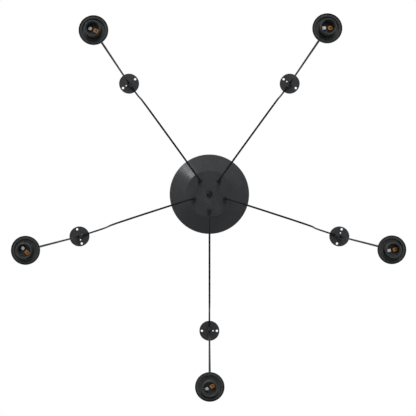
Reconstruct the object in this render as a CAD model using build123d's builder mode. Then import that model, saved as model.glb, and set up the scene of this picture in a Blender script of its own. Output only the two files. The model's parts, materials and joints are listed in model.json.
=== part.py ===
"""Five-light spider pendant: one ceiling canopy, five cords led out to their own small
ceiling plates, and a lamp holder hanging on its cord under each plate.

Millimetres. The ceiling is the plane Z = 0, +Z points up into it, and the whole light hangs below.
The origin is on the canopy's axis, in the ceiling plane. Arm 1 points along +Y, and the others
follow it every 72 degrees, anticlockwise as seen from above.
"""

from build123d import *

import os
from math import asin, cos, degrees, pi, radians, sin, sqrt, tan

# ---------------------------------------------------------------- driving dimensions

# Layout of the arms
ARM_COUNT = 5
FIRST_ARM_DEG = 90.0
STAR_RADIUS = 410.0

# Clearances
THREAD_CLEARANCE = 0.05
BALL_CLEARANCE = 0.05
CORD_CLEARANCE = 0.05
CUP_MOUTH_CLEARANCE = 0.2
CANOPY_HOLE_CLEARANCE = 0.3

# Cord
CORD_DIAMETER = 5.0

# Canopy: a spun cup with a flat face, a cone and a short upright band at the ceiling
CANOPY_DIAMETER = 238.0
CANOPY_FACE_DIAMETER = 136.0
CANOPY_HEIGHT = 49.0
CANOPY_WALL = 1.2
CANOPY_BAND = 4.0
CANOPY_FACE_ROUND = 5.0
CANOPY_BAND_ROUND = 3.0

# Crossbar under the ceiling
BRACKET_LENGTH = 130.0
BRACKET_WIDTH = 26.0
BRACKET_THICKNESS = 2.5
BRACKET_CORNER = 5.0
SLOT_SPACING = 90.0
SLOT_WIDTH = 5.5
SLOT_LENGTH = 16.0

# Centre stud, its nut and the cap nut under the canopy
STUD_DIAMETER = 10.0
STUD_TOP_GAP = 0.2
STUD_END_CHAMFER = 0.8
STUD_NUT_FLATS = 16.0
STUD_NUT_HEIGHT = 6.0
CAP_NUT_DIAMETER = 16.5
CAP_NUT_HEIGHT = 10.0
CAP_NUT_ROUND = 3.0
CAP_NUT_THREAD_DEPTH = 7.0

# Terminal block on the crossbar
BLOCK_LENGTH = 34.0
BLOCK_WIDTH = 20.0
BLOCK_HEIGHT = 14.0
BLOCK_TO_STUD = 14.0
BLOCK_EDGE_ROUND = 1.0
BLOCK_WAYS = 3
BLOCK_PITCH = 11.0
BLOCK_WIRE_BORE = 4.0
BLOCK_SCREW_SPACING = 10.0
BLOCK_SCREW_DIAMETER = 3.8
BLOCK_SCREW_RECESS = 0.8
BLOCK_SCREW_SLOT = 0.7
BLOCK_PEG_DIAMETER = 3.8

# Cord grips on the canopy face, and their nuts inside it
GRIP_CIRCLE_RADIUS = 47.6
GRIP_THREAD_DIAMETER = 10.0
GRIP_FLANGE_DIAMETER = 13.2
GRIP_FLANGE_HEIGHT = 3.0
GRIP_BODY_DIAMETER = 11.6
GRIP_TIP_DIAMETER = 8.6
GRIP_HEIGHT = 14.0
GRIP_STRAIGHT_SHARE = 0.5
GRIP_NUT_FLATS = 14.0
GRIP_NUT_HEIGHT = 4.0
GRIP_THREAD_PAST_NUT = 3.0

# Ceiling plates: a disc with a boss, whose side spout takes the feed cord
PLATE_DIAMETER = 60.0
PLATE_THICKNESS = 2.5
PLATE_EDGE_ROUND = 0.8
PLATE_SCREW_CIRCLE = 45.0
PLATE_SCREW_HOLE = 7.0
PLATE_SMALL_HOLE = 4.0
PLATE_SMALL_HOLE_OFFSET = 10.8
BOSS_DIAMETER = 16.0
BOSS_ROUND = 1.0
SPOUT_DIAMETER = 10.0
SPOUT_REACH = 14.0
FEED_BELOW_DISC = 4.5
CLAMP_SCREW_DIAMETER = 3.0
CLAMP_SCREW_FROM_MOUTH = 3.0
CLAMP_SCREW_KEY = 1.5
CLAMP_SCREW_KEY_DEPTH = 1.0

# Swinging outlet: the cord's round head sits in a ring, and the ring in a round seat in the boss
PIVOT_BELOW_DISC = 9.5
CAVITY_BELOW_DISC = 1.5
RING_BALL_DIAMETER = 11.2
RING_HALF_HEIGHT = 2.5
CORD_HEAD_DIAMETER = 6.8
HEAD_SEAT_DEPTH = 1.25
RING_FLARE_DIAMETER = 7.5
BOSS_BELOW_PIVOT = 2.9

# Lamp holders: depth of the deepest cup's rim below the ceiling, and how much higher each cup
# hangs, arm 1 to arm 5
CUP_RIM_DEPTH = 540.0
CUP_RAISES = [19.0, 37.0, 12.0, 0.0, 51.0]

# Cup: a short upright band at the rim, a cone that the rim hides from below, and a flat top
CUP_DIAMETER = 61.6
CUP_HEIGHT = 60.0
CUP_WALL = 1.2
CUP_BAND = 2.0
CUP_TOP_DIAMETER = 17.4
CUP_BAND_ROUND = 6.0
CUP_TOP_ROUND = 2.5
CUP_RIM_ROUND = 0.4
CUP_GLAND_BODY_HEIGHT = 16.0

# Socket with an E27 bore, and behind it a wider chamber for the contacts
SOCKET_BORE = 27.0
SOCKET_BORE_LENGTH = 9.0
SOCKET_MOUTH_CHAMFER = 1.5
SOCKET_EDGE_CHAMFER = 1.0
SOCKET_CHAMBER_DIAMETER = 29.0
SOCKET_CHAMBER_DEPTH = 5.5
SOCKET_SKIRT_DIAMETER = 33.5
SOCKET_SKIRT_HEIGHT = 31.0
SOCKET_BODY_DIAMETER = 30.0
SOCKET_SHOULDER_HEIGHT = 46.0
SOCKET_HEIGHT = 58.0
SOCKET_TOP_DIAMETER = 18.0
SOCKET_BELOW_RIM = 13.0
SOCKET_FLOOR_THICKNESS = 8.0
SOCKET_WIRING_DIAMETER = 24.0
SOCKET_THREAD_DEPTH = 8.0
CORD_INTO_SOCKET = 14.0

# Threaded ring in the mouth of the cup: an outer band near the rim, a deeper web and a hub above it
RING_BAND_INSET = 1.0
RING_BAND_THICKNESS = 3.0
RING_BAND_INNER_DIAMETER = 48.0
RING_WEB_INSET = 5.0
RING_WEB_THICKNESS = 3.0
RING_WEB_DIAMETER = 53.0
RING_HUB_DIAMETER = 39.0
RING_HUB_HEIGHT = 4.0

# Contact leaves on the socket's floor: ends measured from the socket's axis
CONTACT_THICKNESS = 0.8
CONTACT_FOOT = 2.0
CONTACT_RISE = 4.5
CENTRE_CONTACT_TIP = 1.0
CENTRE_CONTACT_END = 12.2
CENTRE_CONTACT_WIDTH = 8.0
CENTRE_CONTACT_HOLE = 3.2
SIDE_CONTACT_TIP = 3.4
SIDE_CONTACT_END = 12.0
SIDE_CONTACT_WIDTH = 6.2
CONTACT_TURNS = [-26.0, 45.0, 21.0, 0.0, -10.0]

# Routes of the feed cords, each in the upright plane of its arm: distance outwards from the axis of
# its grip, then height above the axis of its plate's spout. Each runs down out of its grip, sags
# across, climbs steeply and ends in its plate.
FEED_ROUTES = [
    [
        (0, -29), (0, -69), (1.4, -112), (9.4, -151), (29.4, -182), (62.4, -198),
        (104.4, -204), (150.4, -206), (195.4, -203), (233.4, -193), (256.4, -168), (268.4, -129),
        (278.4, -87), (290.4, -47), (301.4, -19.5), (313.9, -5), (331.4, 0), (354.4, 0),
    ],
    [
        (0, -29), (0, -70), (1.9, -114), (11.4, -153), (32.4, -184), (65.4, -200),
        (105.4, -207), (144.4, -208), (181.4, -202), (210.4, -188), (231.4, -162), (244.4, -124),
        (255.4, -83), (268.4, -45), (279.4, -17), (295.4, -3), (322.4, 0), (354.4, 0),
    ],
    [
        (0, -29), (0, -68), (1, -110), (8.4, -150), (28.4, -182), (61.4, -199),
        (103.4, -206), (150.4, -208.5), (197.4, -206), (235.4, -196), (260.4, -173), (275.4, -135),
        (287.4, -91), (301.4, -48.5), (312.4, -18.5), (323.4, -6.5), (337.9, 0), (354.4, 0),
    ],
    [
        (0, -29), (0, -69), (1.6, -113), (10.4, -153), (31.4, -183), (65.4, -198),
        (108.4, -204), (155.4, -205.5), (201.4, -204), (238.4, -195), (263.4, -172), (278.4, -134),
        (289.9, -91), (303.4, -49), (313.4, -19), (324.4, -6.5), (338.4, 0), (354.4, 0),
    ],
    [
        (0, -29), (0, -67), (1.2, -109), (7.4, -148), (25.4, -180), (56.4, -198),
        (97.4, -206), (142.4, -209), (184.4, -204), (220.4, -191), (243.4, -165), (255.4, -127),
        (264.4, -86), (275.4, -46), (287.4, -18), (304.4, -3.5), (326.4, 0), (354.4, 0),
    ],
]
FEED_END_TO_AXIS = 8.0
ARC_SHARE_OF_RUN = 0.45

# ---------------------------------------------------------------- sizes that follow

cord_radius = CORD_DIAMETER / 2
cord_bore_radius = cord_radius + CORD_CLEARANCE
stud_radius = STUD_DIAMETER / 2
stud_hole_radius = stud_radius + THREAD_CLEARANCE
grip_thread_radius = GRIP_THREAD_DIAMETER / 2 - THREAD_CLEARANCE
grip_hole_radius = GRIP_THREAD_DIAMETER / 2
canopy_face_level = -CANOPY_HEIGHT
feed_height = -PLATE_THICKNESS - FEED_BELOW_DISC
pivot_height = -PLATE_THICKNESS - PIVOT_BELOW_DISC
cavity_top = -PLATE_THICKNESS - CAVITY_BELOW_DISC
boss_bottom = pivot_height - BOSS_BELOW_PIVOT
ring_ball_radius = RING_BALL_DIAMETER / 2
seat_radius = ring_ball_radius + BALL_CLEARANCE
cord_head_radius = CORD_HEAD_DIAMETER / 2
head_seat_radius = cord_head_radius + BALL_CLEARANCE
socket_skirt_radius = SOCKET_SKIRT_DIAMETER / 2
bore_end_depth = SOCKET_MOUTH_CHAMFER + SOCKET_BORE_LENGTH
contact_floor_depth = bore_end_depth + SOCKET_CHAMBER_DEPTH
ring_bore_radius = socket_skirt_radius + THREAD_CLEARANCE
cup_rim_radius = CUP_DIAMETER / 2
cup_top_radius = CUP_TOP_DIAMETER / 2
cup_taper = (cup_rim_radius - cup_top_radius) / (CUP_HEIGHT - CUP_BAND)
cup_wall_across = CUP_WALL * sqrt(1 + cup_taper**2)
ring_band_top = RING_BAND_INSET + RING_BAND_THICKNESS
cup_inside_at_band = cup_rim_radius - cup_taper * (ring_band_top - CUP_BAND) - cup_wall_across
ring_band_radius = cup_inside_at_band - CUP_MOUTH_CLEARANCE

# ---------------------------------------------------------------- places and helpers


def arm_angle(number):
    """Direction of an arm in degrees from +X, for arms numbered from 1."""
    return FIRST_ARM_DEG + (number - 1) * 360.0 / ARM_COUNT


def arm_point(number, reach, height=0.0):
    """Point on an arm at a distance from the canopy's axis."""
    angle = radians(arm_angle(number))
    return (reach * cos(angle), reach * sin(angle), height)


def level_plane(point, turn=0.0):
    """Horizontal plane at a point, with its x axis turned from +X."""
    angle = radians(turn)
    return Plane(origin=point, x_dir=(cos(angle), sin(angle), 0), z_dir=(0, 0, 1))


def upright_plane(point, turn=0.0):
    """Upright plane at a point: local x runs level in the given direction, local y is +Z."""
    angle = radians(turn)
    return Plane(origin=point, x_dir=(cos(angle), sin(angle), 0), z_dir=(sin(angle), -cos(angle), 0))


def upright_axis(point):
    """Vertical line through a point."""
    return Axis(point, (0, 0, 1))


def on_circle(radius, height):
    """Distance from the middle of a circle's point that lies at a height above its centre."""
    return sqrt(radius**2 - height**2)


def save(piece, name):
    """Labels a finished piece and writes it under its name."""
    piece.label = name
    export_step(piece, f"parts/{name}.step")


# ---------------------------------------------------------------- canopy and what it holds


def make_canopy_shell():
    """Spun canopy with a centre hole for the stud and five holes for the cord grips."""
    rim_radius = CANOPY_DIAMETER / 2
    face_radius = CANOPY_FACE_DIAMETER / 2
    with BuildPart() as canopy_shell:
        with BuildSketch(Plane.XZ):
            with BuildLine():
                FilletPolyline(
                    (0, canopy_face_level),
                    (face_radius, canopy_face_level),
                    (rim_radius, -CANOPY_BAND),
                    (rim_radius, 0),
                    radius=[CANOPY_FACE_ROUND, CANOPY_BAND_ROUND],
                )
                Polyline((rim_radius, 0), (0, 0), (0, canopy_face_level))
            make_face()
        revolve(axis=Axis.Z)
        offset(amount=-CANOPY_WALL, openings=canopy_shell.faces().sort_by(Axis.Z)[-1])
        with BuildSketch(Plane.XY.offset(canopy_face_level)):
            Circle(stud_radius + CANOPY_HOLE_CLEARANCE)
            with PolarLocations(GRIP_CIRCLE_RADIUS, ARM_COUNT, start_angle=FIRST_ARM_DEG):
                Circle(grip_hole_radius)
        extrude(amount=CANOPY_WALL, mode=Mode.SUBTRACT)
    return canopy_shell.part


def block_middle():
    """Distance of the terminal block's middle from the stud's axis."""
    return BLOCK_TO_STUD + BLOCK_WIDTH / 2


def make_ceiling_bracket():
    """Crossbar with a slotted hole at each end, a threaded middle hole and a peg hole."""
    with BuildPart() as ceiling_bracket:
        with BuildSketch(Plane.XY.offset(-BRACKET_THICKNESS)):
            RectangleRounded(BRACKET_LENGTH, BRACKET_WIDTH, BRACKET_CORNER)
            with Locations((-SLOT_SPACING / 2, 0), (SLOT_SPACING / 2, 0)):
                SlotOverall(SLOT_LENGTH, SLOT_WIDTH, mode=Mode.SUBTRACT)
            Circle(stud_hole_radius, mode=Mode.SUBTRACT)
            with Locations((block_middle(), 0)):
                Circle(BLOCK_PEG_DIAMETER / 2 + THREAD_CLEARANCE, mode=Mode.SUBTRACT)
        extrude(amount=BRACKET_THICKNESS)
    return ceiling_bracket.part


def make_centre_stud():
    """Stud from the crossbar down through the canopy into the cap nut."""
    stud_end = canopy_face_level - CAP_NUT_THREAD_DEPTH
    with BuildPart() as centre_stud:
        with BuildSketch(Plane.XY.offset(stud_end)):
            Circle(stud_radius)
        extrude(amount=-STUD_TOP_GAP - stud_end)
        chamfer(centre_stud.edges().sort_by(Axis.Z)[0], length=STUD_END_CHAMFER)
    return centre_stud.part


def make_stud_nut():
    """Hexagon nut that locks the stud against the crossbar."""
    with BuildPart() as stud_nut:
        with BuildSketch(Plane.XY.offset(-BRACKET_THICKNESS)):
            RegularPolygon(STUD_NUT_FLATS / 2, 6, major_radius=False)
            Circle(stud_hole_radius, mode=Mode.SUBTRACT)
        extrude(amount=-STUD_NUT_HEIGHT)
    return stud_nut.part


def make_canopy_cap_nut():
    """Round blind nut that holds the canopy up on the stud."""
    with BuildPart() as canopy_cap_nut:
        with BuildSketch(Plane.XY.offset(canopy_face_level)):
            Circle(CAP_NUT_DIAMETER / 2)
        extrude(amount=-CAP_NUT_HEIGHT)
        fillet(canopy_cap_nut.edges().sort_by(Axis.Z)[0], radius=CAP_NUT_ROUND)
        with BuildSketch(Plane.XY.offset(canopy_face_level)):
            Circle(stud_hole_radius)
        extrude(amount=-CAP_NUT_THREAD_DEPTH - THREAD_CLEARANCE, mode=Mode.SUBTRACT)
    return canopy_cap_nut.part


def block_screw_places():
    """Places of the terminal block's screws, seen from below the block."""
    ways = [(way - (BLOCK_WAYS - 1) / 2) * BLOCK_PITCH for way in range(BLOCK_WAYS)]
    sides = (-BLOCK_SCREW_SPACING / 2, BLOCK_SCREW_SPACING / 2)
    return [(block_middle() + side, way) for way in ways for side in sides]


block_bottom = -BRACKET_THICKNESS - BLOCK_HEIGHT
block_wire_level = block_bottom + BLOCK_HEIGHT / 2
block_screw_top = block_wire_level - BLOCK_WIRE_BORE / 2


def make_terminal_block():
    """Moulded block with a wire bore for each way, screw wells and a peg into the crossbar."""
    with BuildPart() as terminal_block:
        with BuildSketch(Plane.XY.offset(block_bottom)):
            with Locations((block_middle(), 0)):
                Rectangle(BLOCK_WIDTH, BLOCK_LENGTH)
        extrude(amount=BLOCK_HEIGHT)
        fillet(terminal_block.edges().filter_by(Axis.Z), radius=BLOCK_EDGE_ROUND)
        with BuildSketch(Plane.XY.offset(-BRACKET_THICKNESS)):
            with Locations((block_middle(), 0)):
                Circle(BLOCK_PEG_DIAMETER / 2)
        extrude(amount=BRACKET_THICKNESS - STUD_TOP_GAP)
        with BuildSketch(Plane.YZ.offset(BLOCK_TO_STUD)):
            with Locations((0, block_wire_level)):
                with GridLocations(BLOCK_PITCH, 0, BLOCK_WAYS, 1):
                    Circle(BLOCK_WIRE_BORE / 2)
        extrude(amount=BLOCK_WIDTH, mode=Mode.SUBTRACT)
        with BuildSketch(Plane.XY.offset(block_bottom)):
            with Locations(*block_screw_places()):
                Circle(BLOCK_SCREW_DIAMETER / 2 + THREAD_CLEARANCE)
        extrude(amount=block_wire_level - block_bottom, mode=Mode.SUBTRACT)
    return terminal_block.part


def make_terminal_screws():
    """Slotted clamping screws, a little below the face of the terminal block."""
    head_level = block_bottom + BLOCK_SCREW_RECESS
    with BuildPart() as terminal_screws:
        with BuildSketch(Plane.XY.offset(head_level)):
            with Locations(*block_screw_places()):
                Circle(BLOCK_SCREW_DIAMETER / 2)
        extrude(amount=block_screw_top - head_level)
        with BuildSketch(Plane.XY.offset(head_level)):
            with Locations(*block_screw_places()):
                Rectangle(BLOCK_SCREW_SLOT, BLOCK_SCREW_DIAMETER)
        extrude(amount=BLOCK_SCREW_SLOT, mode=Mode.SUBTRACT)
    return terminal_screws.part


def gland_outline(up, thread_length, body_height):
    """Half outline of a gland that stands on the plane of height 0: its flange and tapered
    body on the side that up points to (1 or -1) and its threaded nipple on the other side."""
    return [
        (cord_bore_radius, -up * thread_length),
        (grip_thread_radius, -up * thread_length),
        (grip_thread_radius, 0),
        (GRIP_FLANGE_DIAMETER / 2, 0),
        (GRIP_FLANGE_DIAMETER / 2, up * GRIP_FLANGE_HEIGHT),
        (GRIP_BODY_DIAMETER / 2, up * GRIP_FLANGE_HEIGHT),
        (GRIP_BODY_DIAMETER / 2, up * body_height * GRIP_STRAIGHT_SHARE),
        (GRIP_TIP_DIAMETER / 2, up * body_height),
        (cord_bore_radius, up * body_height),
    ]


def grip_point(number):
    """Middle of a cord grip's seat on the canopy face."""
    return arm_point(number, GRIP_CIRCLE_RADIUS, canopy_face_level)


def make_cord_grips():
    """Five alike cord grips, each with its nipple up through the canopy face."""
    thread_length = CANOPY_WALL + GRIP_NUT_HEIGHT + GRIP_THREAD_PAST_NUT
    with BuildPart() as cord_grips:
        for number in range(1, ARM_COUNT + 1):
            with BuildSketch(upright_plane(grip_point(number), arm_angle(number))):
                with BuildLine():
                    Polyline(*gland_outline(-1, thread_length, GRIP_HEIGHT), close=True)
                make_face()
            revolve(axis=upright_axis(grip_point(number)))
    return cord_grips.part


def make_grip_nuts():
    """Hexagon nuts that hold the cord grips, inside the canopy."""
    with BuildPart() as grip_nuts:
        with BuildSketch(Plane.XY.offset(canopy_face_level + CANOPY_WALL)):
            with PolarLocations(GRIP_CIRCLE_RADIUS, ARM_COUNT, start_angle=FIRST_ARM_DEG):
                RegularPolygon(GRIP_NUT_FLATS / 2, 6, major_radius=False)
            with PolarLocations(GRIP_CIRCLE_RADIUS, ARM_COUNT, start_angle=FIRST_ARM_DEG):
                Circle(grip_hole_radius, mode=Mode.SUBTRACT)
        extrude(amount=GRIP_NUT_HEIGHT)
    return grip_nuts.part


# ---------------------------------------------------------------- feed cords


def arc_radii(points):
    """One radius for each corner of a route: 0.45 of the shorter run beside the corner,
    divided by the tangent of half the turn."""
    radii = []
    for before, corner, after in zip(points, points[1:], points[2:]):
        run_in = Vector(*corner) - Vector(*before)
        run_out = Vector(*after) - Vector(*corner)
        half_turn = radians(run_in.get_angle(run_out)) / 2
        shorter = min(run_in.length, run_out.length)
        radii.append(ARC_SHARE_OF_RUN * shorter / tan(half_turn))
    return radii


def feed_route(number):
    """Points of a feed cord's route, stretched along its arm so that it reaches its plate."""
    route = FEED_ROUTES[number - 1]
    route_end = STAR_RADIUS - FEED_END_TO_AXIS - GRIP_CIRCLE_RADIUS
    stretch = route_end / route[-1][0]
    points = []
    for outwards, height in route:
        reach = GRIP_CIRCLE_RADIUS + outwards * stretch
        points.append(arm_point(number, reach, feed_height + height))
    return points


def make_feed_cord(number):
    """Cord from inside the canopy, through its grip, across to the spout of its plate."""
    points = feed_route(number)
    radii = arc_radii(points)
    with BuildPart() as feed_cord:
        with BuildLine() as route:
            FilletPolyline(*points, radius=radii)
        with BuildSketch(Plane(origin=route.line @ 0, z_dir=route.line % 0)):
            Circle(cord_radius)
        sweep(path=route.line)
    length = sum(edge.length for edge in route.line.edges())
    share = feed_cord.part.volume / (length * pi * cord_radius**2)
    rounded = [round(radius) for radius in radii]
    print(f"feed cord {number}: length {length:.0f}, volume share {share:.5f}, radii {rounded}")
    return feed_cord.part


# ---------------------------------------------------------------- ceiling plates


def make_ceiling_plate(number):
    """Disc with two screw holes and a small hole on the line across its arm, a boss with the
    round seat of the swinging outlet, and a spout towards the canopy for the feed cord."""
    middle = arm_point(number, STAR_RADIUS)
    turn = arm_angle(number)
    spout_mouth = arm_point(number, STAR_RADIUS - SPOUT_REACH, feed_height)
    outwards = arm_point(number, 1.0)
    mouth_angle = degrees(asin(BOSS_BELOW_PIVOT / seat_radius))
    mouth_radius = on_circle(seat_radius, BOSS_BELOW_PIVOT)
    with BuildPart() as ceiling_plate:
        with BuildSketch(level_plane(arm_point(number, STAR_RADIUS, -PLATE_THICKNESS), turn)):
            Circle(PLATE_DIAMETER / 2)
        extrude(amount=PLATE_THICKNESS)
        fillet(ceiling_plate.edges().sort_by(Axis.Z)[0], radius=PLATE_EDGE_ROUND)
        with BuildSketch(level_plane(arm_point(number, STAR_RADIUS, boss_bottom), turn)):
            Circle(BOSS_DIAMETER / 2)
        extrude(amount=-PLATE_THICKNESS - boss_bottom)
        fillet(ceiling_plate.edges().sort_by(Axis.Z)[0], radius=BOSS_ROUND)
        with BuildSketch(Plane(origin=spout_mouth, z_dir=outwards)):
            Circle(SPOUT_DIAMETER / 2)
        extrude(amount=SPOUT_REACH)
        with BuildSketch(level_plane(arm_point(number, STAR_RADIUS, -PLATE_THICKNESS), turn)):
            with Locations((0, -PLATE_SCREW_CIRCLE / 2), (0, PLATE_SCREW_CIRCLE / 2)):
                Circle(PLATE_SCREW_HOLE / 2)
            with Locations((0, -PLATE_SMALL_HOLE_OFFSET)):
                Circle(PLATE_SMALL_HOLE / 2)
        extrude(amount=PLATE_THICKNESS, mode=Mode.SUBTRACT)
        with BuildSketch(upright_plane(middle, turn)):
            with BuildLine():
                Polyline((0, cavity_top), (seat_radius, cavity_top), (seat_radius, pivot_height))
                CenterArc((0, pivot_height), seat_radius, 0, -mouth_angle)
                Polyline((mouth_radius, boss_bottom), (0, boss_bottom), (0, cavity_top))
            make_face()
        revolve(axis=upright_axis(middle), mode=Mode.SUBTRACT)
        with BuildSketch(Plane(origin=spout_mouth, z_dir=outwards)):
            Circle(cord_bore_radius)
        extrude(amount=SPOUT_REACH, mode=Mode.SUBTRACT)
        with BuildSketch(level_plane(clamp_screw_point(number))):
            Circle(CLAMP_SCREW_DIAMETER / 2 + THREAD_CLEARANCE)
        extrude(amount=SPOUT_DIAMETER / 2, mode=Mode.SUBTRACT)
    return ceiling_plate.part


def clamp_screw_point(number):
    """Place of a clamping screw's lower end, at the underside of the spout."""
    reach = STAR_RADIUS - SPOUT_REACH + CLAMP_SCREW_FROM_MOUTH
    return arm_point(number, reach, feed_height - SPOUT_DIAMETER / 2)


def make_clamp_screws():
    """Five grub screws that press on the feed cords from below, each with a hexagon socket."""
    with BuildPart() as clamp_screws:
        for number in range(1, ARM_COUNT + 1):
            with BuildSketch(level_plane(clamp_screw_point(number))):
                Circle(CLAMP_SCREW_DIAMETER / 2)
            extrude(amount=SPOUT_DIAMETER / 2 - cord_radius)
            with BuildSketch(level_plane(clamp_screw_point(number))):
                RegularPolygon(CLAMP_SCREW_KEY / 2, 6, major_radius=False)
            extrude(amount=CLAMP_SCREW_KEY_DEPTH, mode=Mode.SUBTRACT)
    return clamp_screws.part


# ---------------------------------------------------------------- pendants


def make_outlet_ring(number):
    """Ring with a round outside that turns in the boss, and a round seat for the cord's head
    that opens downwards so that the cord can lean."""
    pivot = arm_point(number, STAR_RADIUS, pivot_height)
    outer_edge = on_circle(ring_ball_radius, RING_HALF_HEIGHT)
    outer_angle = degrees(asin(RING_HALF_HEIGHT / ring_ball_radius))
    seat_edge = on_circle(head_seat_radius, HEAD_SEAT_DEPTH)
    seat_angle = degrees(asin(HEAD_SEAT_DEPTH / head_seat_radius))
    with BuildPart() as outlet_ring:
        with BuildSketch(upright_plane(pivot, arm_angle(number))):
            with BuildLine():
                Line((head_seat_radius, RING_HALF_HEIGHT), (outer_edge, RING_HALF_HEIGHT))
                CenterArc((0, 0), ring_ball_radius, outer_angle, -2 * outer_angle)
                Polyline(
                    (outer_edge, -RING_HALF_HEIGHT),
                    (RING_FLARE_DIAMETER / 2, -RING_HALF_HEIGHT),
                    (seat_edge, -HEAD_SEAT_DEPTH),
                )
                CenterArc((0, 0), head_seat_radius, -seat_angle, seat_angle)
                Line((head_seat_radius, 0), (head_seat_radius, RING_HALF_HEIGHT))
            make_face()
        revolve(axis=upright_axis(pivot))
    return outlet_ring.part


def rim_height(number):
    """Height of a cup's rim."""
    return CUP_RAISES[number - 1] - CUP_RIM_DEPTH


def socket_top(number):
    """Height of the top of a lamp socket."""
    return rim_height(number) - SOCKET_BELOW_RIM + SOCKET_HEIGHT


def cup_top(number):
    """Height of the outside of a cup's top."""
    return rim_height(number) + CUP_HEIGHT


def make_drop_cord(number):
    """Straight cord under load, from its round head in the outlet ring down into the socket."""
    pivot = arm_point(number, STAR_RADIUS, pivot_height)
    lower_end = socket_top(number) - CORD_INTO_SOCKET
    with BuildPart() as drop_cord:
        with Locations(pivot):
            Sphere(cord_head_radius)
        with BuildSketch(level_plane(pivot)):
            Circle(cord_radius)
        extrude(amount=lower_end - pivot_height)
    return drop_cord.part


def make_cup_gland(number):
    """Gland on top of the cup, with its nipple down through the cup into the socket."""
    seat = arm_point(number, STAR_RADIUS, cup_top(number))
    thread_length = cup_top(number) - socket_top(number) + SOCKET_THREAD_DEPTH
    with BuildPart() as cup_gland:
        with BuildSketch(upright_plane(seat, arm_angle(number))):
            with BuildLine():
                Polyline(*gland_outline(1, thread_length, CUP_GLAND_BODY_HEIGHT), close=True)
            make_face()
        revolve(axis=upright_axis(seat))
    return cup_gland.part


def make_holder_cup(number):
    """Spun steel cup, open below, with a hole in its top for the gland's nipple."""
    rim = arm_point(number, STAR_RADIUS, rim_height(number))
    with BuildPart() as holder_cup:
        with BuildSketch(upright_plane(rim, arm_angle(number))):
            with BuildLine():
                FilletPolyline(
                    (cup_rim_radius, 0),
                    (cup_rim_radius, CUP_BAND),
                    (cup_top_radius, CUP_HEIGHT),
                    (0, CUP_HEIGHT),
                    radius=[CUP_BAND_ROUND, CUP_TOP_ROUND],
                )
                Polyline((0, CUP_HEIGHT), (0, 0), (cup_rim_radius, 0))
            make_face()
        revolve(axis=upright_axis(rim))
        offset(amount=-CUP_WALL, openings=holder_cup.faces().sort_by(Axis.Z)[0])
        with BuildSketch(level_plane(arm_point(number, STAR_RADIUS, cup_top(number)))):
            Circle(grip_hole_radius)
        extrude(amount=-CUP_WALL, mode=Mode.SUBTRACT)
        fillet(holder_cup.edges().group_by(Axis.Z)[0], radius=CUP_RIM_ROUND)
    return holder_cup.part


def make_lamp_socket(number):
    """Socket with a straight skirt, a narrower body and a cone on top; below, the lamp's bore and
    the contacts' chamber, and above their floor a hollow for the wires and a threaded entry."""
    mouth = rim_height(number) - SOCKET_BELOW_RIM
    base = arm_point(number, STAR_RADIUS, mouth)
    bore_radius = SOCKET_BORE / 2
    chamber_radius = SOCKET_CHAMBER_DIAMETER / 2
    wiring_radius = SOCKET_WIRING_DIAMETER / 2
    wiring_floor = contact_floor_depth + SOCKET_FLOOR_THICKNESS
    entry_floor = SOCKET_HEIGHT - SOCKET_THREAD_DEPTH
    with BuildPart() as lamp_socket:
        with BuildSketch(upright_plane(base, arm_angle(number))):
            with BuildLine():
                Polyline(
                    (0, 0),
                    (socket_skirt_radius - SOCKET_EDGE_CHAMFER, 0),
                    (socket_skirt_radius, SOCKET_EDGE_CHAMFER),
                    (socket_skirt_radius, SOCKET_SKIRT_HEIGHT),
                    (SOCKET_BODY_DIAMETER / 2, SOCKET_SKIRT_HEIGHT),
                    (SOCKET_BODY_DIAMETER / 2, SOCKET_SHOULDER_HEIGHT),
                    (SOCKET_TOP_DIAMETER / 2, SOCKET_HEIGHT),
                    (0, SOCKET_HEIGHT),
                    close=True,
                )
            make_face()
        revolve(axis=upright_axis(base))
        with BuildSketch(upright_plane(base, arm_angle(number))):
            with BuildLine():
                Polyline(
                    (0, 0),
                    (bore_radius + SOCKET_MOUTH_CHAMFER, 0),
                    (bore_radius, SOCKET_MOUTH_CHAMFER),
                    (bore_radius, bore_end_depth),
                    (chamber_radius, bore_end_depth),
                    (chamber_radius, contact_floor_depth),
                    (0, contact_floor_depth),
                    close=True,
                )
            make_face()
        revolve(axis=upright_axis(base), mode=Mode.SUBTRACT)
        with BuildSketch(upright_plane(base, arm_angle(number))):
            with BuildLine():
                Polyline(
                    (0, wiring_floor),
                    (wiring_radius, wiring_floor),
                    (wiring_radius, SOCKET_SHOULDER_HEIGHT - THREAD_CLEARANCE),
                    (grip_hole_radius, entry_floor),
                    (grip_hole_radius, SOCKET_HEIGHT),
                    (0, SOCKET_HEIGHT),
                    close=True,
                )
            make_face()
        revolve(axis=upright_axis(base), mode=Mode.SUBTRACT)
    return lamp_socket.part


def make_shade_ring(number):
    """Threaded ring on the socket's skirt, which fills the cup's mouth."""
    rim = arm_point(number, STAR_RADIUS, rim_height(number))
    band_inner_radius = RING_BAND_INNER_DIAMETER / 2
    web_radius = RING_WEB_DIAMETER / 2
    hub_radius = RING_HUB_DIAMETER / 2
    web_top = RING_WEB_INSET + RING_WEB_THICKNESS
    hub_top = web_top + RING_HUB_HEIGHT
    with BuildPart() as shade_ring:
        with BuildSketch(upright_plane(rim, arm_angle(number))):
            with BuildLine():
                Polyline(
                    (ring_bore_radius, RING_WEB_INSET),
                    (band_inner_radius, RING_WEB_INSET),
                    (band_inner_radius, RING_BAND_INSET),
                    (ring_band_radius, RING_BAND_INSET),
                    (ring_band_radius, ring_band_top),
                    (web_radius, ring_band_top),
                    (web_radius, web_top),
                    (hub_radius, web_top),
                    (hub_radius, hub_top),
                    (ring_bore_radius, hub_top),
                    close=True,
                )
            make_face()
        revolve(axis=upright_axis(rim))
    return shade_ring.part


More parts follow.
